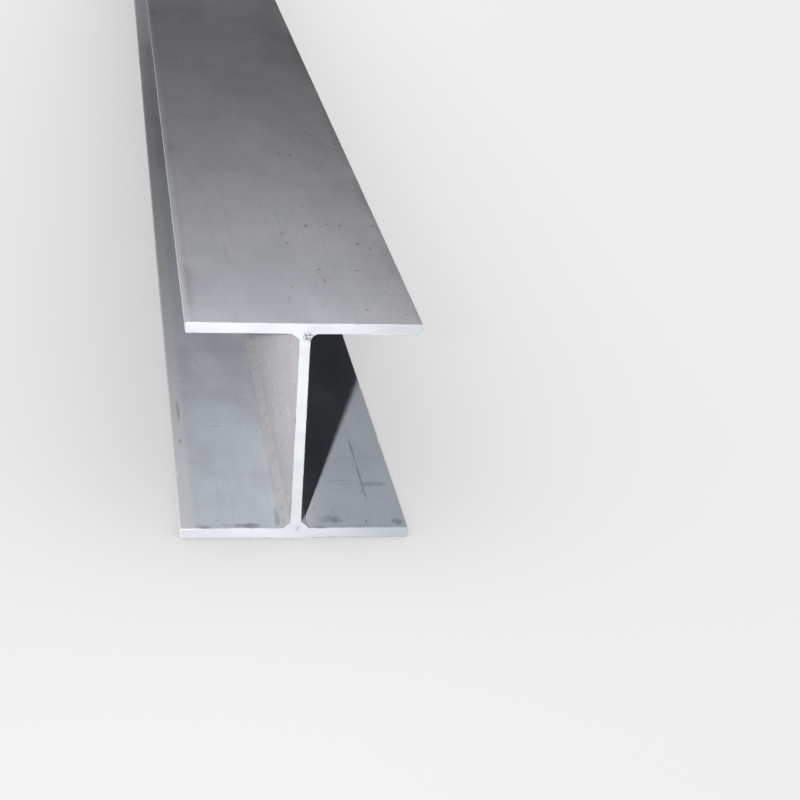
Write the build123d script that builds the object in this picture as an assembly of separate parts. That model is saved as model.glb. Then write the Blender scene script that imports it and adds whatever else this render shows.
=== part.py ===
from build123d import *
import os

# Welded steel H-beam: two flange plates and a web plate of one gauge, joined by four fillet welds.
# The origin is under the middle of the bottom flange. +X runs across the flanges,
# +Y along the beam and +Z up. Left and right are as seen along +Y from the near end.

# The section, in millimetres
flange_width = 150.0
section_depth = 150.0
flange_thickness = 7.0
web_thickness = 7.0

# The length that such beams are sold in
stock_length = 6000.0

# The rounding that runs along each edge of the flange plates
flange_edge_radius = 1.2

# The fillet welds: one leg lies on the flange and the other runs along the web.
# Between its toes the face of a bead is a little hollow under the top flange,
# and a little proud on the bottom flange.
weld_flange_leg = 5.0
weld_web_leg = 4.0
top_weld_sink = 0.5
bottom_weld_swell = 0.4

# Heights of the faces that meet
bottom_flange_top = flange_thickness
top_flange_underside = section_depth - flange_thickness
web_depth = top_flange_underside - bottom_flange_top

LEFT = -1
RIGHT = 1
UP = 1
DOWN = -1


def run_along_beam(section):
    """Pull a cross-section, drawn across the beam, out to both ends."""
    return extrude(Plane.XZ * section, amount=stock_length / 2, both=True)


def flange_plate(underside):
    """A flat plate with rounded long edges, lying with its underside at this height."""
    outline = RectangleRounded(flange_width, flange_thickness, flange_edge_radius)
    return run_along_beam(Pos(0, underside + flange_thickness / 2) * outline)


def web_plate():
    """The upright plate, which stands on the bottom flange and bears on the top one."""
    outline = Rectangle(web_thickness, web_depth)
    return run_along_beam(Pos(0, bottom_flange_top + web_depth / 2) * outline)


def fillet_weld(side, flange_face, climb, swell):
    """One weld run in the corner between the web and a flange.

    side says which face of the web it lies on, flange_face is the height of the flange's face,
    climb says whether the run goes up or down the web from there, and swell is how far the
    middle of the bead's face stands out from the straight line between its toes.
    """
    web_face = side * web_thickness / 2

    def corner_point(along_flange, along_web):
        return (web_face + side * along_flange, flange_face + climb * along_web)

    face_width = (weld_flange_leg**2 + weld_web_leg**2) ** 0.5
    root = corner_point(0, 0)
    flange_toe = corner_point(weld_flange_leg, 0)
    web_toe = corner_point(0, weld_web_leg)
    face_middle = corner_point(
        weld_flange_leg / 2 + swell * weld_web_leg / face_width,
        weld_web_leg / 2 + swell * weld_flange_leg / face_width,
    )
    outline = [
        Line(root, flange_toe),
        ThreePointArc(flange_toe, face_middle, web_toe),
        Line(web_toe, root),
    ]
    return run_along_beam(make_face(outline))


pieces = {
    "bottom_flange_plate": flange_plate(0),
    "web_plate": web_plate(),
    "top_flange_plate": flange_plate(top_flange_underside),
    "bottom_left_weld": fillet_weld(LEFT, bottom_flange_top, UP, bottom_weld_swell),
    "bottom_right_weld": fillet_weld(RIGHT, bottom_flange_top, UP, bottom_weld_swell),
    "top_left_weld": fillet_weld(LEFT, top_flange_underside, DOWN, -top_weld_sink),
    "top_right_weld": fillet_weld(RIGHT, top_flange_underside, DOWN, -top_weld_sink),
}

os.makedirs("parts", exist_ok=True)
for name, piece in pieces.items():
    export_step(piece, f"parts/{name}.step")
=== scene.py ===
import math
import random

import bmesh
import bpy
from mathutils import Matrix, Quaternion, Vector, noise


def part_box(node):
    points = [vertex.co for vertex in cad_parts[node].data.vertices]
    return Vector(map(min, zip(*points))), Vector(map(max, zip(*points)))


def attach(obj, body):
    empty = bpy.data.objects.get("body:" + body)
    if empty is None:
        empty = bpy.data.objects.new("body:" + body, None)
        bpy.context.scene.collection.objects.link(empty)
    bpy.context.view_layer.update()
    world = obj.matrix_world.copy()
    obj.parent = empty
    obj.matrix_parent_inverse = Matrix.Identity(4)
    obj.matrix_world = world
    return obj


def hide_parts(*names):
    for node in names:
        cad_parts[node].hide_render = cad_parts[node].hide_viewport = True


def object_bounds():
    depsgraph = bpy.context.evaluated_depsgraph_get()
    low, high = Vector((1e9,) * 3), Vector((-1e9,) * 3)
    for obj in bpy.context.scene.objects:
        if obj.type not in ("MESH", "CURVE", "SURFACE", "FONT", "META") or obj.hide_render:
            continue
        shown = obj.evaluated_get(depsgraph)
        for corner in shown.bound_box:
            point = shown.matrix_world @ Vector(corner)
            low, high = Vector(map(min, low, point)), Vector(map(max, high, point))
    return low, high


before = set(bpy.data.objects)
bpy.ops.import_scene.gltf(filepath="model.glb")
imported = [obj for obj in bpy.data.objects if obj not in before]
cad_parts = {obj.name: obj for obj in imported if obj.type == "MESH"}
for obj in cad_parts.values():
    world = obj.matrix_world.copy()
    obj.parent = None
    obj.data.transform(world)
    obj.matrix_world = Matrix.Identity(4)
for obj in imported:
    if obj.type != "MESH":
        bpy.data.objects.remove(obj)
cad_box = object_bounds()


# Bottom flange: a strip of hot-rolled stainless plate, annealed and pickled to a dull silver grey.
# The beam lies on it, and the web stands along its middle. Its long edges are a little rounded and
# nicked, and its ends were cut through with the rest of the beam, after welding.
MM = 0.001
MATH, VECTOR_MATH, MAP_RANGE = "ShaderNodeMath", "ShaderNodeVectorMath", "ShaderNodeMapRange"
NOISE, SPLIT, JOIN = "ShaderNodeTexNoise", "ShaderNodeSeparateXYZ", "ShaderNodeCombineXYZ"
PLUS, LESS = {"operation": "ADD"}, {"operation": "SUBTRACT"}
TIMES, TIMES_PLUS = {"operation": "MULTIPLY"}, {"operation": "MULTIPLY_ADD"}
SIZE_OF = {"operation": "ABSOLUTE"}
SMALLER, LARGER = {"operation": "MINIMUM"}, {"operation": "MAXIMUM"}
SMOOTH = {"interpolation_type": "SMOOTHSTEP"}
flange_edge_radius = 1.5
corner_steps = 4
column_spacing = 6.0
station_spacing = 25.0
end_steps = (0.4, 1.5, 4.0, 10.0)
edge_wander = 0.3
edge_wander_length = 55.0
worn_width = 3.0
cut_wander = 0.15
cut_wander_length = 40.0
broken_edges = ((0.45, 24.0), (0.35, 6.0))
lower_edge_raggedness = 1.8
nick_spacing = 70.0
nick_clear_of_end = 12.0
nick_depths = (0.25, 0.8)
nick_half_lengths = (1.2, 4.0)
nick_through_share = 0.7
least_broken = 0.1
plate_sharp_deg = 32
pattern_shift = 13.7
bump_strength = 0.5
speck_wobbles = ((9.0, 6.0), (2.2, 2.4))
speck_least_chance = 0.2
speck_edge_width = 0.5
speck_patch_starts, speck_patch_full = 0.48, 0.58
smudge_starts, smudge_full = 20.0, 4.0
web_low, web_high = (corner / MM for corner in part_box("web_plate"))
joint_heights = (web_low.z, web_high.z)
weld_reach = 7.0
crack_middle_x = web_high.x - 1.5
crack_heights = (joint_heights[0] - 0.5, joint_heights[1] - 1.8)
crack_starts, crack_full = 5.5, 1.0
crack_half_width, crack_core = 0.08, 0.02
lower_cracks_share = 0.45


def linear_colour(hex_code):
    """An sRGB hex colour as linear red, green, blue and alpha."""
    channels = [int(hex_code[k:k + 2], 16) / 255 for k in (1, 3, 5)]
    return (*(c / 12.92 if c <= 0.04045 else ((c + 0.055) / 1.055) ** 2.4 for c in channels), 1.0)


def add_node(tree, kind, settings=None, inputs=None, output=0):
    """Add a node with its settings, set or link its inputs, and return one of its outputs."""
    node = tree.nodes.new(kind)
    for name, value in (settings or {}).items():
        setattr(node, name, value)
    for key, value in (inputs or {}).items():
        if isinstance(value, bpy.types.NodeSocket):
            tree.links.new(value, node.inputs[key])
        else:
            node.inputs[key].default_value = value
    return node.outputs[output] if len(node.outputs) else node


def start_material(name):
    """A new material, its node tree, and the place on the piece in millimetres, whole and split."""
    material = bpy.data.materials.new(name)
    material.use_nodes = True
    tree = material.node_tree
    tree.nodes.clear()
    metres = add_node(tree, "ShaderNodeTexCoord", output="Object")
    place = add_node(tree, VECTOR_MATH, {"operation": "SCALE"}, {0: metres, "Scale": 1 / MM})
    parts = add_node(tree, SPLIT, None, {0: place}).node.outputs
    return material, tree, place, parts


def draw_patterns(tree, place, grains, shift):
    """Noise patterns by name, each with its grain's size in millimetres along X, Y and Z."""
    patterns = {}
    for name, (grain, detail) in grains.items():
        shift += pattern_shift
        where = {0: place, "Location": (shift, shift, shift), "Scale": [1 / size for size in grain]}
        scaled = add_node(tree, "ShaderNodeMapping", None, where)
        patterns[name] = add_node(tree, NOISE, None, {"Vector": scaled, "Scale": 1.0, "Detail": detail})
    return patterns


def lay_tints(tree, colour, tints):
    """A colour with tints laid over it, each growing to its share as its pattern goes from low to high."""
    for pattern, low, high, share, tint in tints:
        amount = add_node(tree, MAP_RANGE, SMOOTH, {0: pattern, 1: low, 2: high, 3: 0.0, 4: share})
        mixed = {0: amount, 6: colour, 7: linear_colour(tint)}
        colour = add_node(tree, "ShaderNodeMix", {"data_type": "RGBA"}, mixed, output=2)
    return colour


def finish_steel(material, tree, colour, roughness, relief, depth):
    """Close a material as bare metal, with fine relief from weighted patterns, this deep in millimetres."""
    height = 0.0
    for pattern, weight in relief:
        height = add_node(tree, MATH, TIMES_PLUS, {0: pattern, 1: weight, 2: height})
    bump = {"Height": height, "Strength": bump_strength, "Distance": depth * MM}
    bump = add_node(tree, "ShaderNodeBump", None, bump)
    surface = {"Base Color": colour, "Metallic": 1.0, "Roughness": roughness, "Normal": bump}
    shader = add_node(tree, "ShaderNodeBsdfPrincipled", None, surface)
    add_node(tree, "ShaderNodeOutputMaterial", None, {"Surface": shader})
    return material


def ragged_specks(tree, place, spacing, largest, drawn_out, patch):
    """Small ragged specks, one to a cell at most, where the patch pattern is high. The cells lie on
    the plate and are drawn out along it. The largest is the half width of the largest speck."""
    bent = place
    for wave, reach in speck_wobbles:
        wobble = add_node(tree, NOISE, None, {"Vector": place, "Scale": 1 / wave}, output="Color")
        bent = add_node(tree, VECTOR_MATH, TIMES_PLUS, {0: wobble, 1: (reach, reach, reach), 2: bent})
    parts = add_node(tree, SPLIT, None, {0: bent}).node.outputs
    across = add_node(tree, MATH, PLUS, {0: parts["X"], 1: parts["Z"]})
    along = add_node(tree, MATH, TIMES, {0: parts["Y"], 1: 1 / drawn_out})
    flat = {"Vector": add_node(tree, JOIN, None, {"X": across, "Y": along}), "Scale": 1 / spacing}
    cells = add_node(tree, "ShaderNodeTexVoronoi", {"voronoi_dimensions": "2D"}, flat).node.outputs
    chance = add_node(tree, "ShaderNodeSeparateColor", None, {0: cells["Color"]})
    reach = {0: chance, 1: speck_least_chance, 2: 1.0, 3: 0.0, 4: largest / spacing}
    reach = add_node(tree, MAP_RANGE, None, reach)
    inside = add_node(tree, MATH, LESS, {0: reach, 1: cells["Distance"]})
    sharp = add_node(tree, MAP_RANGE, SMOOTH, {0: inside, 1: 0.0, 2: speck_edge_width / spacing})
    there = add_node(tree, MAP_RANGE, SMOOTH, {0: patch, 1: speck_patch_starts, 2: speck_patch_full})
    return add_node(tree, MATH, TIMES, {0: sharp, 1: there})


def from_ends(tree, parts):
    """The distance from the nearer end of the beam, in millimetres."""
    along = add_node(tree, MATH, SIZE_OF, {0: parts["Y"]})
    return add_node(tree, MATH, LESS, {0: cad_box[1].y / MM, 1: along})


def pickled_plate(name, pale, dull, film, pit_spacing, pit_lean, shift, marks):
    """Stainless plate as pickling leaves it. It is matt and pale, with soft clouds, faint streaks along the
    rolling direction and a fine etched grain. It has thin scratches along and across, dark pits in loose
    patches, which may lean to one side of the plate, and smudges behind the cut ends. The etched grain is
    drawn about ten times too coarse, or it would not show."""
    material, tree, place, parts = start_material(name)
    patterns = draw_patterns(tree, place, {
        "cloud": ((55, 140, 55), 3.0),
        "band": ((110, 26, 110), 3.0),
        "streak": ((3.5, 260, 3.5), 2.0),
        "etch": ((1.5, 1.9, 1.5), 2.0),
        "patch": ((60, 90, 60), 2.0),
        "smear": ((9, 24, 9), 3.0),
        "smudge": ((18, 10, 18), 3.0),
        "scratch": ((1.6, 150, 1.6), 0.0),
        "cross": ((26, 1.6, 26), 0.0),
    }, shift)
    leaning = add_node(tree, MATH, TIMES_PLUS, {0: parts["X"], 1: pit_lean, 2: patterns["patch"]})
    pits = ragged_specks(tree, place, pit_spacing, largest=1.0, drawn_out=4.5, patch=leaning)
    fine_pits = ragged_specks(tree, place, pit_spacing * 0.4, largest=0.7, drawn_out=4.0, patch=leaning)
    back = {0: from_ends(tree, parts), 1: smudge_starts, 2: smudge_full}
    back = add_node(tree, MAP_RANGE, SMOOTH, back)
    smudge = add_node(tree, MATH, TIMES, {0: back, 1: patterns["smudge"]})
    colour = lay_tints(tree, linear_colour(pale), [
        (patterns["cloud"], 0.36, 0.66, 1.0, dull),
        (patterns["streak"], 0.48, 0.80, 0.25, dull),
        (patterns["band"], 0.52, 0.76, 0.12, film),
        (patterns["smear"], 0.58, 0.76, 0.12, film),
        (patterns["etch"], 0.46, 0.76, 0.12, film),
        *marks(tree, place, parts, patterns),
        (patterns["scratch"], 0.81, 0.84, 0.2, "#6F6E71"),
        (patterns["cross"], 0.81, 0.85, 0.25, "#747377"),
        (smudge, 0.60, 0.72, 0.4, "#6F6E70"),
        (fine_pits, 0.0, 1.0, 0.4, "#5A585A"),
        (pits, 0.0, 1.0, 0.5, "#4C4A4C"),
    ])
    roughness = add_node(tree, MAP_RANGE, None, {0: patterns["cloud"], 1: 0.3, 2: 0.7, 3: 0.80, 4: 0.88})
    relief = [(patterns["etch"], 0.6), (patterns["streak"], 0.8), (pits, -0.8)]
    return finish_steel(material, tree, colour, roughness, relief, 0.1)


def cut_end(name, drag):
    """The end as the cutting left it: clean bare metal, mottled, with faint drag lines through the plate, a
    darker, bluer right side and a slightly darker, bluer far left end. A painted highlight makes it a little
    paler low on the left. At the weld roots right of the web are dark cracks where the plates aren't fused,
    fainter at the foot."""
    material, tree, place, parts = start_material(name)
    patterns = draw_patterns(tree, place, {
        "drag": (drag, 2.0),
        "mottle": ((24, 9, 12), 3.0),
        "crack": ((2.2, 2.2, 2.2), 2.0),
    }, 5.0)
    away = add_node(tree, MATH, LESS, {0: parts["X"], 1: crack_middle_x})
    lifts = []
    for height in crack_heights:
        lift = add_node(tree, MATH, LESS, {0: parts["Z"], 1: height})
        lifts.append(add_node(tree, MATH, SIZE_OF, {0: lift}))
    lift = add_node(tree, MATH, SMALLER, {0: lifts[0], 1: lifts[1]})
    from_root = add_node(tree, JOIN, None, {"X": away, "Y": lift})
    from_root = add_node(tree, VECTOR_MATH, {"operation": "LENGTH"}, {0: from_root}, output="Value")
    near_root = add_node(tree, MAP_RANGE, None, {0: from_root, 1: crack_starts, 2: crack_full})
    upper = {0: parts["Z"], 1: 40.0, 2: 110.0, 3: lower_cracks_share, 4: 1.0}
    upper = add_node(tree, MAP_RANGE, None, upper)
    crack = add_node(tree, MATH, LESS, {0: patterns["crack"], 1: 0.5})
    crack = add_node(tree, MATH, SIZE_OF, {0: crack})
    crack = add_node(tree, MAP_RANGE, SMOOTH, {0: crack, 1: crack_half_width, 2: crack_core})
    crack = add_node(tree, MATH, TIMES, {0: near_root, 1: crack})
    crack = add_node(tree, MATH, TIMES, {0: upper, 1: crack})
    # Darker and bluer towards the right side of the ends, mottled.
    darker_bluer_right = add_node(tree, MATH, TIMES_PLUS, {0: patterns["mottle"], 1: 30.0, 2: parts["X"]})
    # Painted highlight: the ends are painted paler low on the left.
    painted_low_left_highlight = add_node(tree, MATH, TIMES_PLUS, {0: parts["X"], 1: 0.6, 2: parts["Z"]})
    colour = lay_tints(tree, linear_colour("#AAACAF"), [
        (patterns["mottle"], 0.40, 0.70, 1.0, "#A4A6AA"),
        (patterns["drag"], 0.45, 0.75, 0.2, "#A0A2A6"),
        (painted_low_left_highlight, 45.0, -15.0, 0.4, "#BEC0C4"),
        (parts["X"], -30.0, -70.0, 0.18, "#8E939C"),
        (darker_bluer_right, 30.0, 90.0, 0.45, "#8E939C"),
        (crack, 0.2, 0.7, 0.75, "#464446"),
    ])
    return finish_steel(material, tree, colour, 0.78, [(patterns["drag"], 0.6), (crack, -1.0)], 0.12)


def plate_section(wide, thin, radius):
    """The upper and the lower face of a plate's section, each from one edge to the other."""
    columns = max(2, round((wide - 2 * radius) / column_spacing))
    turns = [math.radians(90 * step / corner_steps) for step in range(corner_steps + 1)]
    corner = [(radius * (1 - math.cos(t)) - wide / 2, thin / 2 - radius * (1 - math.sin(t))) for t in turns]
    flat = [((wide - 2 * radius) * (step / columns - 0.5), thin / 2) for step in range(1, columns)]
    upper = corner + flat + [(-across, through) for across, through in reversed(corner)]
    return upper, [(across, -through) for across, through in upper]


def edge_nicks(length, seed):
    """Nicks in the long edges: place along the plate, half length, depth, and which edge and face."""
    draw = random.Random(seed)
    reach = length / 2 - nick_clear_of_end
    nicks = []
    for number in range(int(length / nick_spacing)):
        size = (draw.uniform(-reach, reach), draw.uniform(*nick_half_lengths), draw.uniform(*nick_depths))
        nicks.append((*size, draw.choice((-1, 1)), draw.choice((-1, 1))))
    return nicks


def edge_wear(across, face, station, wide, nicks, seed):
    """How far a point near a long edge is worn in, across the plate and through it."""
    edge = math.copysign(1, across)
    nearness = max(0.0, 1 - (wide / 2 - abs(across)) / worn_width)
    wander = edge_wander * (0.5 + 0.5 * noise.noise(Vector((station / edge_wander_length, edge * 5, seed))))
    nicked = 0.0
    for place, half, depth, nick_edge, nick_face in nicks:
        if (nick_edge, nick_face) == (edge, face) and abs(station - place) < half:
            nicked = max(nicked, depth * (1 - ((station - place) / half) ** 2))
    return nearness * (wander + nicked), nearness * nicked * nick_through_share


def rolled_plate(name, node, standing, radius, face_steel, end_steel, seed):
    """A plate that stands for a CAD plate: its section swept along the beam, worn along its long edges
    unless it stands between the flanges, with cut ends whose edges are broken clear of the welds."""
    low, high = (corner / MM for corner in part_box(node))
    middle = (low + high) / 2
    size = high - low
    wide, thin = (size.z, size.x) if standing else (size.x, size.z)
    nicks = [] if standing else edge_nicks(size.y, seed)
    stations = {step * station_spacing - size.y / 2 for step in range(round(size.y / station_spacing) + 1)}
    for back in end_steps:
        stations.update((size.y / 2 - back, back - size.y / 2))
    for place, half in (nick[:2] for nick in nicks):
        stations.update(place + share * half for share in (-1, -0.5, 0, 0.5, 1))
    stations = sorted(stations)
    mesh = bmesh.new()
    rings = []
    for station in stations:
        at_end = station in (stations[0], stations[-1])
        ring = []
        for face, row in zip((1, -1), plate_section(wide, thin, radius)):
            points = []
            for across, through in row:
                if not standing:
                    worn_across, worn_through = edge_wear(across, face, station, wide, nicks, seed)
                    across -= math.copysign(worn_across, across)
                    through -= math.copysign(worn_through, through)
                x, z = (through, across) if standing else (across, through)
                y = station
                if at_end:
                    to_joint = min(abs(z + middle.z - height) for height in joint_heights)
                    clear = max(to_joint, abs(x) - web_high.x) - weld_reach
                    where = Vector((x, z, seed))
                    broken = sum(deep * abs(noise.noise(where / wave)) for deep, wave in broken_edges)
                    broken += least_broken
                    broken *= min(1.0, max(0.0, clear / weld_reach))
                    if not standing and face < 0:
                        broken *= lower_edge_raggedness
                    x -= math.copysign(min(abs(x), broken), x)
                    z -= math.copysign(min(abs(z), broken), z)
                    rough = 0.5 + 0.5 * noise.noise(Vector((x, z + middle.z, station)) / cut_wander_length)
                    y -= math.copysign(cut_wander * rough, y)
                points.append(mesh.verts.new((Vector((x, y, z)) + middle) * MM))
            ring.append(points)
        rings.append(ring)
    for first, second in zip(rings, rings[1:]):
        for one, two in zip(first, second):
            for k in range(len(one) - 1):
                mesh.faces.new((one[k], one[k + 1], two[k + 1], two[k]))
        for k in (0, -1):
            mesh.faces.new((first[0][k], first[1][k], second[1][k], second[0][k]))
    for upper, lower in (rings[0], rings[-1]):
        for k in range(len(upper) - 1):
            cap = mesh.faces.new((upper[k], upper[k + 1], lower[k + 1], lower[k]))
            cap.material_index = 1
    bmesh.ops.recalc_face_normals(mesh, faces=mesh.faces)
    data = bpy.data.meshes.new(name)
    mesh.to_mesh(data)
    mesh.free()
    data.materials.append(face_steel)
    data.materials.append(end_steel)
    data.shade_smooth()
    data.set_sharp_from_angle(angle=math.radians(plate_sharp_deg))
    for polygon in data.polygons:
        polygon.use_smooth = polygon.material_index == 0
    plate = bpy.data.objects.new(name, data)
    bpy.context.scene.collection.objects.link(plate)
    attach(plate, "root")
    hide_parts(node)
    return plate


smear_fray, etch_fray = 2.2, 1.4
scuff_starts, scuff_full = 2.6, 1.7
near_end_scuffs = (
    (52.6, 98.0, 0.85, 84.0, 0.55),
    (40.0, 71.5, 16.0, 0.9, 0.3),
    (42.0, 66.5, 14.0, 0.8, 0.3),
    (61.0, 66.0, 14.0, 6.0, 0.3),
    (26.0, 13.0, 11.0, 8.0, 0.45),
    (15.0, 1.5, 6.0, 2.4, 0.45),
    (69.0, 9.0, 6.0, 6.0, 0.5),
    (-27.0, 4.0, 10.0, 5.0, 0.45),
    (-11.0, 17.0, 2.6, 20.0, 0.35),
    (-42.0, 164.0, 11.0, 0.9, 0.35),
    (-69.0, 190.0, 1.3, 24.0, 0.4),
    (-69.5, 138.0, 1.6, 5.0, 0.4),
)


def scuff_tints(tree, parts, patterns, scuffs):
    """Tints for single scuffs and scratches. Each has its place across the plate and back from the near
    end, its half width across, its half length along, and how dark it is. The patterns fray it."""
    tints = []
    ragged = add_node(tree, MATH, TIMES, {0: patterns["smear"], 1: smear_fray})
    ragged = add_node(tree, MATH, TIMES_PLUS, {0: patterns["etch"], 1: etch_fray, 2: ragged})
    for across, back, half_wide, half_long, share in scuffs:
        fray = ragged
        for part, middle, half in (("X", across, half_wide), ("Y", cad_box[0].y / MM + back, half_long)):
            off = add_node(tree, MATH, LESS, {0: parts[part], 1: middle})
            off = add_node(tree, MATH, TIMES, {0: off, 1: 1 / half})
            fray = add_node(tree, MATH, TIMES_PLUS, {0: off, 1: off, 2: fray})
        tints.append((fray, scuff_starts, scuff_full, share, "#5E6168"))
    return tints


def bottom_flange_marks(tree, place, parts, patterns):
    """A paler strip along the left edge, painted light outside the top flange's shadow, painted shade on the
    right half and beside the welds, rubbed long edges, and the scuffs and scratches behind the near end."""
    away = add_node(tree, MATH, SIZE_OF, {0: parts["X"]})
    # Painted light: the paler, warmer strip along the left edge stands for flange lit outside the top
    # flange's shadow.
    strip = add_node(tree, MATH, TIMES_PLUS, {0: patterns["smear"], 1: 3.0, 2: parts["X"]})
    # Painted shade: a darker, patchy band in the corner beside each weld toe.
    toe = add_node(tree, MAP_RANGE, None, {0: away, 1: 16.0, 2: 8.0})
    toe = add_node(tree, MATH, TIMES, {0: toe, 1: patterns["smear"]})
    return [
        (strip, -61.0, -67.0, 0.45, "#CFCECD"),
        # Painted shade: the right half, in the web's shade from the lamp on the left, is painted darker and
        # bluer.
        (parts["X"], 4.0, 24.0, 0.32, "#8D96A6"),
        (toe, 0.32, 0.48, 0.15, "#77767A"),
        (away, 73.2, 74.6, 0.5, "#C8C9CC"),
        *scuff_tints(tree, parts, patterns, near_end_scuffs),
    ]


bottom_steel = pickled_plate(
    "Pickled plate, bottom flange", pale="#C0C4CB", dull="#AFB2B8", film="#908F92",
    pit_spacing=17.0, pit_lean=0.0, shift=3.0, marks=bottom_flange_marks)
flange_cut = cut_end("Cut end of flange plate", drag=(0.9, 9.0, 30.0))
bottom_flange = rolled_plate(
    "bottom_flange", "bottom_flange_plate", standing=False, radius=flange_edge_radius,
    face_steel=bottom_steel, end_steel=flange_cut, seed=11)


# Web: a strip of the same plate standing on edge between the flanges. A slightly darker band along its
# top and foot is painted shade in the corners by the welds, and its ends are cut flush with the flanges.
web_edge_radius = 0.3
painted_shade_fray = 10.0


def web_marks(tree, place, parts, patterns):
    """Painted shade as a slightly darker band beside each weld, with a broken edge, and pale specks where
    acid dried.
    """
    # Painted shade: a slightly darker band in the corners along the web's top and foot, beside the welds.
    painted_weld_shade = add_node(tree, MATH, LESS, {0: parts["Z"], 1: sum(joint_heights) / 2})
    painted_weld_shade = add_node(tree, MATH, SIZE_OF, {0: painted_weld_shade})
    painted_weld_shade = add_node(tree, MATH, TIMES_PLUS, {0: patterns["smear"], 1: painted_shade_fray, 2: painted_weld_shade})
    clear = add_node(tree, MATH, LESS, {0: 1.0, 1: patterns["cloud"]})
    clear = add_node(tree, MATH, SMALLER, {0: clear, 1: patterns["smear"]})
    specks = ragged_specks(tree, place, spacing=6.0, largest=2.1, drawn_out=1.9, patch=clear)
    return [(painted_weld_shade, 58.0, 68.0, 0.1, "#8A8683"), (specks, 0.0, 1.0, 0.5, "#D4D3D7")]


web_steel = pickled_plate(
    "Pickled plate, web", pale="#A8A6AA", dull="#A09EA1", film="#827F82",
    pit_spacing=14.0, pit_lean=0.0, shift=17.0, marks=web_marks)
web_cut = cut_end("Cut end of web plate", drag=(30.0, 9.0, 0.9))
web = rolled_plate(
    "web", "web_plate", standing=True, radius=web_edge_radius,
    face_steel=web_steel, end_steel=web_cut, seed=23)


# Top flange: a strip like the bottom one, which bears on the web. Its upper face has more pits than the
# other plates, most of them right of the web, and dirt beside its long edges.
dirt_fray = 40.0


def top_flange_marks(tree, place, parts, patterns):
    """Long smudges of dirt beside the long edges, a slightly darker right half, rubbed edges, a wider pale
    band of painted highlight along the left one, and painted shade that dims that edge's rounding."""
    away = add_node(tree, MATH, SIZE_OF, {0: parts["X"]})
    dirt = add_node(tree, MATH, TIMES_PLUS, {0: patterns["cloud"], 1: dirt_fray, 2: away})
    return [
        (dirt, 88.0, 98.0, 0.3, "#868485"),
        # Slightly darker towards the right half.
        (parts["X"], 10.0, 70.0, 0.12, "#868485"),
        (parts["X"], -66.5, -69.5, 0.1, "#868485"),
        # Painted highlight: a wider pale band along the left edge of the upper face.
        (parts["X"], -70.0, -73.5, 0.35, "#DCDCDE"),
        (away, 73.2, 74.6, 0.5, "#C8C9CC"),
        # Painted shade: the left edge's rounding is painted darker to dim its highlight.
        (parts["X"], -73.6, -74.6, 0.4, "#77777B"),
    ]


top_steel = pickled_plate(
    "Pickled plate, top flange", pale="#C5C6CB", dull="#B5B6BB", film="#939294",
    pit_spacing=8.5, pit_lean=0.0026, shift=41.0, marks=top_flange_marks)
top_flange = rolled_plate(
    "top_flange", "top_flange_plate", standing=False, radius=flange_edge_radius,
    face_steel=top_steel, end_steel=flange_cut, seed=37)


# Fillet welds: four runs of stainless filler, laid in the corners between web and flanges and pickled
# with the plates. Each is a string of overlapping ripples, uneven in width and height, and is cut
# through with the plates at both ends.
section_points = 8
weld_sizes = {
    "Length": (cad_box[1].y - cad_box[0].y) / MM,
    "Station spacing": 1.0,
    "Flange leg": 5.2,
    "Web leg": 4.3,
    "Toe wander": 0.06,
    "Toe depth": 0.15,
    "Ripple pitch": 4.2,
    "Ripple height": 0.06,
    "Ripple lag": 2.4,
    "Ripple drift": 6.0,
    "Lump length": 7.0,
    "Lump height": 0.25,
    "Web face": web_high.x,
}
cut_facing = 0.95
weld_sharp_deg = 50


def start_nodes(name, inputs, made):
    """A new tree of Geometry Nodes, the identifiers of its named inputs, and the inputs' sockets in it."""
    tree = bpy.data.node_groups.new(name, "GeometryNodeTree")
    names = {}
    for key, kind in inputs.items():
        names[key] = tree.interface.new_socket(key, in_out="INPUT", socket_type=kind).identifier
    tree.interface.new_socket(made, in_out="OUTPUT", socket_type="NodeSocketGeometry")
    return tree, names, add_node(tree, "NodeGroupInput").node.outputs


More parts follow.
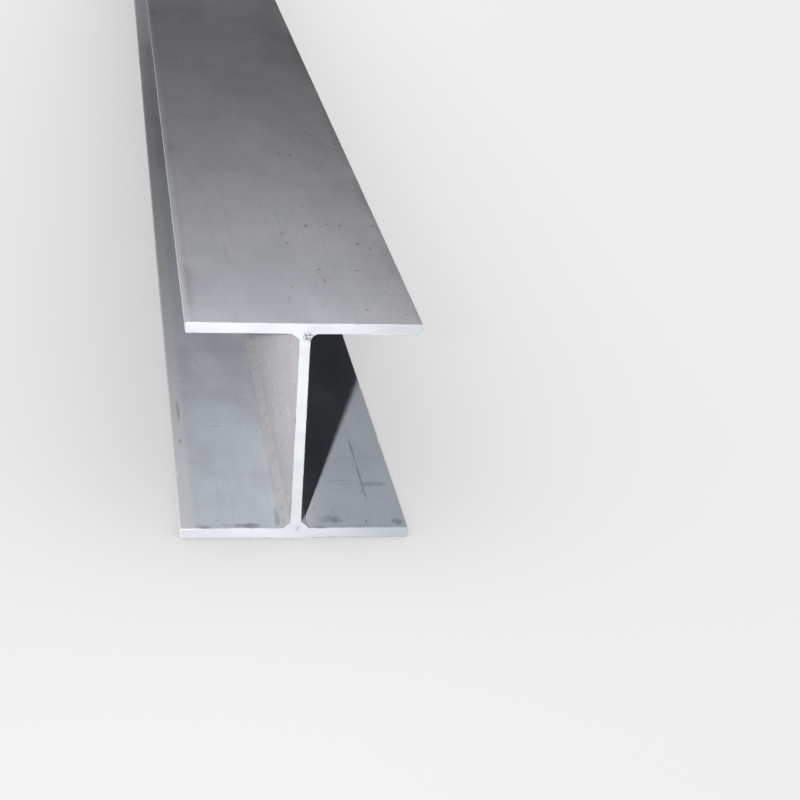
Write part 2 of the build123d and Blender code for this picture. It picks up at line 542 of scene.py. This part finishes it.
def weld_run_nodes():
    """Nodes for one weld run: a flat strip of section points along the beam, then shaped to the corner.
    The strip's X counts the points of the section, from the flange toe over the face to the web toe, and
    the last point is the root."""
    inputs = dict.fromkeys((*weld_sizes, "Swell", "Side", "Climb", "Flange face", "Seed"), "NodeSocketFloat")
    inputs.update(dict.fromkeys(("Bead metal", "Cut metal"), "NodeSocketMaterial"))
    tree, names, given = start_nodes("Weld run", inputs, "Run")
    line = add_node(tree, "GeometryNodeMeshLine", None, {"Count": section_points, "Offset": (1, 0, 0)})
    line = add_node(tree, "GeometryNodeMeshToCurve", None, {0: line})
    line = add_node(tree, "GeometryNodeSetSplineCyclic", None, {0: line, "Cyclic": True})
    ends = []
    for share in (-0.5, 0.5):
        end = add_node(tree, MATH, TIMES, {0: given["Length"], 1: share})
        ends.append(add_node(tree, JOIN, None, {"Y": end}))
    path = add_node(tree, "GeometryNodeCurvePrimitiveLine", None, {"Start": ends[0], "End": ends[1]})
    path = {0: path, "Length": given["Station spacing"]}
    path = add_node(tree, "GeometryNodeResampleCurve", {"mode": "LENGTH"}, path)
    strip = {"Curve": path, "Profile Curve": line, "Fill Caps": True}
    strip = add_node(tree, "GeometryNodeCurveToMesh", None, strip)
    parts = add_node(tree, SPLIT, None, {0: add_node(tree, "GeometryNodeInputPosition")}).node.outputs
    along = parts["Y"]
    share = add_node(tree, MAP_RANGE, None, {0: parts["X"], 1: 0.0, 2: section_points - 2})
    at_root = {0: parts["X"], 1: section_points - 1.5}
    at_root = add_node(tree, "FunctionNodeCompare", {"operation": "GREATER_THAN"}, at_root)
    legs = []
    for leg, wave, shift in (("Flange leg", 9.0, 0.0), ("Web leg", 6.5, 40.0)):
        where = add_node(tree, MATH, TIMES_PLUS, {0: along, 1: 1 / wave, 2: given["Seed"]})
        where = add_node(tree, MATH, PLUS, {0: where, 1: shift})
        uneven = add_node(tree, NOISE, {"noise_dimensions": "1D"}, {"W": where, "Scale": 1.0})
        uneven = add_node(tree, MAP_RANGE, None, {0: uneven, 1: 0.25, 2: 0.75, 3: -1.0, 4: 1.0})
        uneven = add_node(tree, MATH, TIMES_PLUS, {0: uneven, 1: given["Toe wander"], 2: 1.0})
        legs.append(add_node(tree, MATH, TIMES, {0: uneven, 1: given[leg]}))
    sunk = add_node(tree, MATH, TIMES, {0: given["Toe depth"], 1: -1.0})
    flange_toe = add_node(tree, JOIN, None, {"X": legs[0], "Z": sunk})
    web_toe = add_node(tree, JOIN, None, {"X": sunk, "Z": legs[1]})
    root = add_node(tree, JOIN, None, {"X": sunk, "Z": sunk})
    face = {0: share, 4: flange_toe, 5: web_toe}
    face = add_node(tree, "ShaderNodeMix", {"data_type": "VECTOR"}, face, output=1)
    outward = add_node(tree, JOIN, None, {"X": given["Web leg"], "Z": given["Flange leg"]})
    outward = add_node(tree, VECTOR_MATH, {"operation": "NORMALIZE"}, {0: outward})
    aside = add_node(tree, MATH, TIMES_PLUS, {0: share, 1: 2.0, 2: -1.0})
    aside = add_node(tree, MATH, TIMES, {0: aside, 1: aside})
    crown = add_node(tree, MATH, LESS, {0: 1.0, 1: aside})
    where = add_node(tree, MATH, {"operation": "DIVIDE"}, {0: along, 1: given["Lump length"]})
    where = add_node(tree, JOIN, None, {"X": where, "Y": share, "Z": given["Seed"]})
    lump = add_node(tree, NOISE, None, {"Vector": where, "Scale": 1.0, "Detail": 2.0})
    phase = add_node(tree, MATH, TIMES_PLUS, {0: aside, 1: given["Ripple lag"], 2: along})
    phase = add_node(tree, MATH, TIMES_PLUS, {0: lump, 1: given["Ripple drift"], 2: phase})
    phase = add_node(tree, MATH, {"operation": "DIVIDE"}, {0: phase, 1: given["Ripple pitch"]})
    ripple = add_node(tree, MATH, TIMES, {0: phase, 1: math.pi})
    ripple = add_node(tree, MATH, {"operation": "SINE"}, {0: ripple})
    ripple = add_node(tree, MATH, SIZE_OF, {0: ripple})
    lump = add_node(tree, MAP_RANGE, None, {0: lump, 1: 0.25, 2: 0.75, 3: -0.5, 4: 0.5})
    rise = add_node(tree, MATH, TIMES_PLUS, {0: lump, 1: given["Lump height"], 2: given["Swell"]})
    rise = add_node(tree, MATH, TIMES_PLUS, {0: ripple, 1: given["Ripple height"], 2: rise})
    rise = add_node(tree, MATH, TIMES, {0: rise, 1: crown})
    face = add_node(tree, VECTOR_MATH, TIMES_PLUS, {0: outward, 1: rise, 2: face})
    point = add_node(tree, "GeometryNodeSwitch", {"input_type": "VECTOR"}, {0: at_root, 1: face, 2: root})
    turned = add_node(tree, JOIN, None, {"X": given["Side"], "Z": given["Climb"]})
    corner = add_node(tree, MATH, TIMES, {0: given["Side"], 1: given["Web face"]})
    corner = add_node(tree, JOIN, None, {"X": corner, "Y": along, "Z": given["Flange face"]})
    point = add_node(tree, VECTOR_MATH, TIMES_PLUS, {0: point, 1: turned, 2: corner})
    point = add_node(tree, VECTOR_MATH, {"operation": "SCALE"}, {0: point, "Scale": MM})
    run = add_node(tree, "GeometryNodeSetPosition", None, {0: strip, "Position": point})
    run = add_node(tree, "GeometryNodeRealizeInstances", None, {0: run})
    run = add_node(tree, "GeometryNodeSetMaterial", None, {0: run, "Material": given["Bead metal"]})
    facing = add_node(tree, SPLIT, None, {0: add_node(tree, "GeometryNodeInputNormal")}).node.outputs
    facing = add_node(tree, MATH, SIZE_OF, {0: facing["Y"]})
    cut = add_node(tree, "FunctionNodeCompare", {"operation": "GREATER_THAN"}, {0: facing, 1: cut_facing})
    run = {0: run, "Selection": cut, "Material": given["Cut metal"]}
    run = add_node(tree, "GeometryNodeSetMaterial", None, run)
    add_node(tree, "NodeGroupOutput", None, {0: run})
    return tree, names


def grow(name, source, tree, names, values):
    """Run a node tree on a source mesh and keep what it makes as a plain mesh that faces outwards."""
    piece = bpy.data.objects.new(name, source)
    bpy.context.scene.collection.objects.link(piece)
    modifier = piece.modifiers.new(name, "NODES")
    modifier.node_group = tree
    for key, value in values.items():
        modifier[names[key]] = value
    grown = piece.evaluated_get(bpy.context.evaluated_depsgraph_get())
    made = bpy.data.meshes.new_from_object(grown)
    piece.modifiers.clear()
    piece.data = made
    made.name = name
    shape = bmesh.new()
    shape.from_mesh(made)
    bmesh.ops.recalc_face_normals(shape, faces=shape.faces)
    shape.to_mesh(made)
    shape.free()
    made.shade_smooth()
    made.set_sharp_from_angle(angle=math.radians(weld_sharp_deg))
    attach(piece, "root")
    return piece


def weld_bead():
    """Stainless filler after pickling: as pale as the plate, a little less matt on its ripples, with dull
    film left in the hollows."""
    material, tree, place, parts = start_material("Weld bead, pickled stainless filler")
    patterns = draw_patterns(tree, place, {
        "film": ((5, 7, 5), 3.0),
        "freeze": ((4.0, 0.7, 4.0), 1.0),
        "etch": ((0.9, 0.9, 0.9), 2.0),
    }, 61.0)
    colour = lay_tints(tree, linear_colour("#B7B6B8"), [
        (patterns["film"], 0.46, 0.72, 0.6, "#A5A4A7"),
        (patterns["freeze"], 0.50, 0.75, 0.12, "#959394"),
        (patterns["etch"], 0.55, 0.75, 0.25, "#828081"),
    ])
    relief = [(patterns["freeze"], 1.0), (patterns["etch"], 0.5)]
    return finish_steel(material, tree, colour, 0.84, relief, 0.06)


bead_steel = weld_bead()
run_tree, run_names = weld_run_nodes()
LEFT, RIGHT = -1.0, 1.0
UP, DOWN = 1.0, -1.0
weld_runs = (
    ("bottom_left", LEFT, UP, joint_heights[0], -0.25, 3.0),
    ("bottom_right", RIGHT, UP, joint_heights[0], 0.4, 17.0),
    ("top_left", LEFT, DOWN, joint_heights[1], -0.3, 29.0),
    ("top_right", RIGHT, DOWN, joint_heights[1], -1.1, 43.0),
)
for corner, side, climb, flange_face, swell, seed in weld_runs:
    values = {**weld_sizes, "Side": side, "Climb": climb, "Flange face": flange_face}
    values.update({"Swell": swell, "Seed": seed, "Bead metal": bead_steel, "Cut metal": flange_cut})
    bead = grow(corner + "_bead", bpy.data.meshes.new(corner), run_tree, run_names, values)
    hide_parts(corner + "_weld")


# Spatter: droplets that the welding threw on the web and the inner faces of the flanges, fused on as small
# flat grains. They thin out away from the welds, faster on the flanges, and are drawn out along the beam.
spatter_sizes = {"Density": 8800.0, "Reach": 90.0, "Smallest": 0.3, "Largest": 1.25, "Seed": 5}
flange_thinning = 14.0
grain_drawn_out = 1.8
grain_flatness = 0.45
small_grain_lean = 2.5
inner_face_slack = 0.3


def spatter_nodes():
    """Nodes that strew grains over plates, thinning out with the distance from the nearest weld."""
    inputs = {"Plates": "NodeSocketGeometry", **dict.fromkeys(spatter_sizes, "NodeSocketFloat")}
    inputs.update({"Seed": "NodeSocketInt", "Metal": "NodeSocketMaterial"})
    tree, names, given = start_nodes("Spatter", inputs, "Grains")
    place = {0: add_node(tree, "GeometryNodeInputPosition"), "Scale": 1 / MM}
    place = add_node(tree, VECTOR_MATH, {"operation": "SCALE"}, place)
    parts = add_node(tree, SPLIT, None, {0: place}).node.outputs
    away = add_node(tree, MATH, SIZE_OF, {0: parts["X"]})
    away = add_node(tree, MATH, LESS, {0: away, 1: web_high.x})
    lift = add_node(tree, MATH, LESS, {0: parts["Z"], 1: sum(joint_heights) / 2})
    lift = add_node(tree, MATH, SIZE_OF, {0: lift})
    lift = add_node(tree, MATH, LESS, {0: (joint_heights[1] - joint_heights[0]) / 2, 1: lift})
    from_weld = add_node(tree, MATH, TIMES, {0: away, 1: flange_thinning})
    from_weld = add_node(tree, MATH, LARGER, {0: lift, 1: from_weld})
    inside = add_node(tree, MATH, SMALLER, {0: from_weld, 1: from_ends(tree, parts)})
    inside = add_node(tree, MATH, {"operation": "GREATER_THAN"}, {0: inside, 1: weld_reach})
    lowest = add_node(tree, MATH, SMALLER, {0: lift, 1: away})
    inner = add_node(tree, MATH, {"operation": "COMPARE"}, {0: lowest, 1: 0.0, 2: inner_face_slack})
    inner = add_node(tree, MATH, TIMES, {0: inner, 1: inside})
    fade = add_node(tree, MATH, {"operation": "DIVIDE"}, {0: from_weld, 1: given["Reach"]})
    fade = add_node(tree, MATH, TIMES, {0: fade, 1: -1.0})
    fade = add_node(tree, MATH, {"operation": "EXPONENT"}, {0: fade})
    density = add_node(tree, MATH, TIMES, {0: fade, 1: inner})
    density = add_node(tree, MATH, TIMES, {0: density, 1: given["Density"]})
    strewn = {"Mesh": given["Plates"], "Density": density, "Seed": given["Seed"]}
    strewn = add_node(tree, "GeometryNodeDistributePointsOnFaces", None, strewn).node.outputs
    chance = add_node(tree, "FunctionNodeRandomValue", None, {"Seed": given["Seed"]}, output=1)
    chance = add_node(tree, MATH, {"operation": "POWER"}, {0: chance, 1: small_grain_lean})
    size = {0: chance, 1: 0.0, 2: 1.0, 3: given["Smallest"], 4: given["Largest"]}
    size = add_node(tree, MAP_RANGE, None, size)
    size = add_node(tree, MATH, TIMES, {0: size, 1: MM})
    flat = add_node(tree, VECTOR_MATH, SIZE_OF, {0: strewn["Normal"]})
    flat = {0: flat, 1: (-grain_flatness,) * 3, 2: (1.0, grain_drawn_out, 1.0)}
    flat = add_node(tree, VECTOR_MATH, TIMES_PLUS, flat)
    scale = add_node(tree, VECTOR_MATH, {"operation": "SCALE"}, {0: flat, "Scale": size})
    grain = add_node(tree, "GeometryNodeMeshIcoSphere", None, {"Radius": 1.0, "Subdivisions": 1})
    grains = {"Points": strewn["Points"], "Instance": grain, "Scale": scale}
    grains = add_node(tree, "GeometryNodeInstanceOnPoints", None, grains)
    grains = add_node(tree, "GeometryNodeRealizeInstances", None, {0: grains})
    grains = add_node(tree, "GeometryNodeSetMaterial", None, {0: grains, "Material": given["Metal"]})
    add_node(tree, "NodeGroupOutput", None, {0: grains})
    return tree, names


plates = bmesh.new()
for plate in (bottom_flange, web, top_flange):
    plates.from_mesh(plate.data)
plates_mesh = bpy.data.meshes.new("plates")
plates.to_mesh(plates_mesh)
plates.free()
spatter_tree, spatter_names = spatter_nodes()
grow("weld_spatter", plates_mesh, spatter_tree, spatter_names, {**spatter_sizes, "Metal": bead_steel})


# Dross: beads of melted metal that the cutting left hanging along the lower edge of the top flange's ends
# and along the edges of the web's ends. They are fused on behind the cut.
dross_sizes = {"Spacing": 2.3, "Share": 0.14, "Smallest": 0.2, "Largest": 0.5, "Seed": 9}
dross_behind_cut = 0.9
flange_edge_clear = 2.0


def dross_nodes():
    """Nodes that hang beads on loose edges, at some of the places that a spacing gives."""
    inputs = {"Cut edges": "NodeSocketGeometry", **dict.fromkeys(dross_sizes, "NodeSocketFloat")}
    inputs.update({"Seed": "NodeSocketInt", "Metal": "NodeSocketMaterial"})
    tree, names, given = start_nodes("Dross", inputs, "Beads")
    edges = add_node(tree, "GeometryNodeMeshToCurve", None, {0: given["Cut edges"]})
    spacing = add_node(tree, MATH, TIMES, {0: given["Spacing"], 1: MM})
    places = {0: edges, "Length": spacing}
    places = add_node(tree, "GeometryNodeResampleCurve", {"mode": "LENGTH"}, places)
    kept = {"Probability": given["Share"], "Seed": given["Seed"]}
    kept = add_node(tree, "FunctionNodeRandomValue", {"data_type": "BOOLEAN"}, kept, output=3)
    size = {2: given["Smallest"], 3: given["Largest"], "Seed": given["Seed"]}
    size = add_node(tree, "FunctionNodeRandomValue", None, size, output=1)
    size = add_node(tree, MATH, TIMES, {0: size, 1: MM})
    bead = add_node(tree, "GeometryNodeMeshIcoSphere", None, {"Radius": 1.0, "Subdivisions": 2})
    beads = {"Points": places, "Selection": kept, "Instance": bead, "Scale": size}
    beads = add_node(tree, "GeometryNodeInstanceOnPoints", None, beads)
    beads = add_node(tree, "GeometryNodeRealizeInstances", None, {0: beads})
    beads = add_node(tree, "GeometryNodeSetMaterial", None, {0: beads, "Material": given["Metal"]})
    add_node(tree, "NodeGroupOutput", None, {0: beads})
    return tree, names


cut_edges = bmesh.new()
flange_half = cad_box[1].x / MM - flange_edge_clear
low_joint, high_joint = joint_heights
for end in (-1, 1):
    y = end * (cad_box[1].y / MM - dross_behind_cut)
    for side in (-1, 1):
        web_x = side * web_high.x
        flange_run = ((side * flange_half, high_joint), (web_x + side * weld_reach, high_joint))
        web_run = ((web_x, low_joint + weld_reach), (web_x, high_joint - weld_reach))
        for run in (flange_run, web_run):
            cut_edges.edges.new([cut_edges.verts.new(Vector((x, y, z)) * MM) for x, z in run])
cut_edges_mesh = bpy.data.meshes.new("cut edges")
cut_edges.to_mesh(cut_edges_mesh)
cut_edges.free()
dross_tree, dross_names = dross_nodes()
grow("cutting_dross", cut_edges_mesh, dross_tree, dross_names, {**dross_sizes, "Metal": bead_steel})


# Floor, light and camera: a plain pale floor that turns up into a wall far off, its glow dimmed into a
# painted shadow where the beam covers it, a small key lamp just left of the camera, softer lamps along
# both sides and at the far end, and a dim sky.
floor_radius_m = 180.0
cove_radius_m = 20.0
wall_height_m = 50.0
floor_turns = 48
cove_steps = 8
painted_floor_shadow_reach_m = 0.4
floor_glow_in_painted_shadow, floor_glow_open = 0.35, 0.85
sky_strength = 0.04
floor_mesh = bpy.data.meshes.new("floor")
floor_builder = bmesh.new()
rises = [math.radians(90 * step / cove_steps) for step in range(cove_steps + 1)]
outline = [(floor_radius_m + cove_radius_m * math.sin(t), cove_radius_m * (1 - math.cos(t))) for t in rises]
outline.append((floor_radius_m + cove_radius_m, wall_height_m))
floor_rings = []
for radius, height in outline:
    turns = [math.tau * step / floor_turns for step in range(floor_turns)]
    ring = [floor_builder.verts.new((radius * math.cos(t), radius * math.sin(t), height)) for t in turns]
    floor_rings.append(ring)
floor_builder.faces.new(floor_rings[0])
for inner, outer in zip(floor_rings, floor_rings[1:]):
    for k in range(floor_turns):
        floor_builder.faces.new((inner[k], outer[k], outer[k - 1], inner[k - 1]))
floor_builder.to_mesh(floor_mesh)
floor_builder.free()
floor = bpy.data.objects.new("floor", floor_mesh)
bpy.context.scene.collection.objects.link(floor)
floor_material, floor_tree = start_material("Pale floor")[:2]
floor_plain = add_node(floor_tree, "ShaderNodeBsdfDiffuse", None, {"Color": linear_colour("#E4E4E2")})
floor_shade = add_node(floor_tree, "ShaderNodeBsdfDiffuse", None, {"Color": linear_colour("#2C2C2C")})
# Painted shadow: the floor's glow follows how open it is to the sky, so it darkens beside the beam.
open_to_sky = {"Distance": painted_floor_shadow_reach_m}
open_to_sky = add_node(floor_tree, "ShaderNodeAmbientOcclusion", {"samples": 2}, open_to_sky, output="AO")
glow = {0: open_to_sky, 3: floor_glow_in_painted_shadow, 4: floor_glow_open}
glow = add_node(floor_tree, MAP_RANGE, None, glow)
floor_glow = {"Color": linear_colour("#FFFFFF"), "Strength": glow}
floor_glow = add_node(floor_tree, "ShaderNodeEmission", None, floor_glow)
floor_seen = add_node(floor_tree, "ShaderNodeAddShader", None, {0: floor_shade, 1: floor_glow})
ray = add_node(floor_tree, "ShaderNodeLightPath").node.outputs
seen = add_node(floor_tree, MATH, LARGER, {0: ray["Is Camera Ray"], 1: ray["Is Glossy Ray"]})
seen = add_node(floor_tree, MATH, LARGER, {0: seen, 1: ray["Is Transmission Ray"]})
floor_shader = add_node(floor_tree, "ShaderNodeMixShader", None, {0: seen, 1: floor_plain, 2: floor_seen})
add_node(floor_tree, "ShaderNodeOutputMaterial", None, {"Surface": floor_shader})
floor_mesh.materials.append(floor_material)

world = bpy.data.worlds.new("Dim sky")
world.use_nodes = True
sky = world.node_tree.nodes["Background"].inputs
sky["Color"].default_value = linear_colour("#FAF4EE")
sky["Strength"].default_value = sky_strength
bpy.context.scene.world = world

near_end = Vector((0, cad_box[0].y, 0))
camera_mm = Vector((-127.8, -1051.2, 545.7))
aim_mm = Vector((63.0, 0.0, 98.5))
camera_roll_deg = 4.25
camera_lens_mm = 81.41
camera_sensor_mm = 36.0


def round_lamp(name, place_mm, aim_mm, size_m, watts, spread_deg):
    """A round lamp with a grid that keeps its light to a cone, placed and aimed from the near end."""
    data = bpy.data.lights.new(name, "AREA")
    data.shape = "DISK"
    data.size = size_m
    data.energy = watts
    data.spread = math.radians(spread_deg)
    lamp = bpy.data.objects.new(name, data)
    lamp.location = near_end + Vector(place_mm) * MM
    lamp.rotation_mode = "QUATERNION"
    lamp.rotation_quaternion = (Vector(aim_mm) - Vector(place_mm)).to_track_quat("-Z", "Y")
    lamp.visible_camera = False
    bpy.context.scene.collection.objects.link(lamp)


round_lamp("key", (-278, -1010, 535), (20, 170, 12), size_m=0.025, watts=5.0, spread_deg=63)
for side in (-1, 1):
    lamp_place, lamp_aim = (side * 1000, 1780, 1300), (0, 1780, 75)
    round_lamp("side, first", lamp_place, lamp_aim, size_m=0.8, watts=0.95, spread_deg=54)
    for along in (2900, 3900, 4900, 5900):
        lamp_place, lamp_aim = (side * 1000, along, 1300), (0, along, 75)
        round_lamp("side", lamp_place, lamp_aim, size_m=0.8, watts=3.0, spread_deg=80)
    round_lamp("far end", (side * 500, 7300, 500), (0, 6000, 75), size_m=0.3, watts=1.9, spread_deg=50)

camera_data = bpy.data.cameras.new("camera")
camera_data.sensor_width = camera_sensor_mm
camera_data.lens = camera_lens_mm
camera = bpy.data.objects.new("camera", camera_data)
camera.location = near_end + camera_mm * MM
camera.rotation_mode = "QUATERNION"
level = (near_end + aim_mm * MM - camera.location).to_track_quat("-Z", "Y")
camera.rotation_quaternion = level @ Quaternion((0, 0, 1), math.radians(camera_roll_deg))
bpy.context.scene.collection.objects.link(camera)
bpy.context.scene.camera = camera
bpy.context.scene.view_settings.view_transform = "Standard"
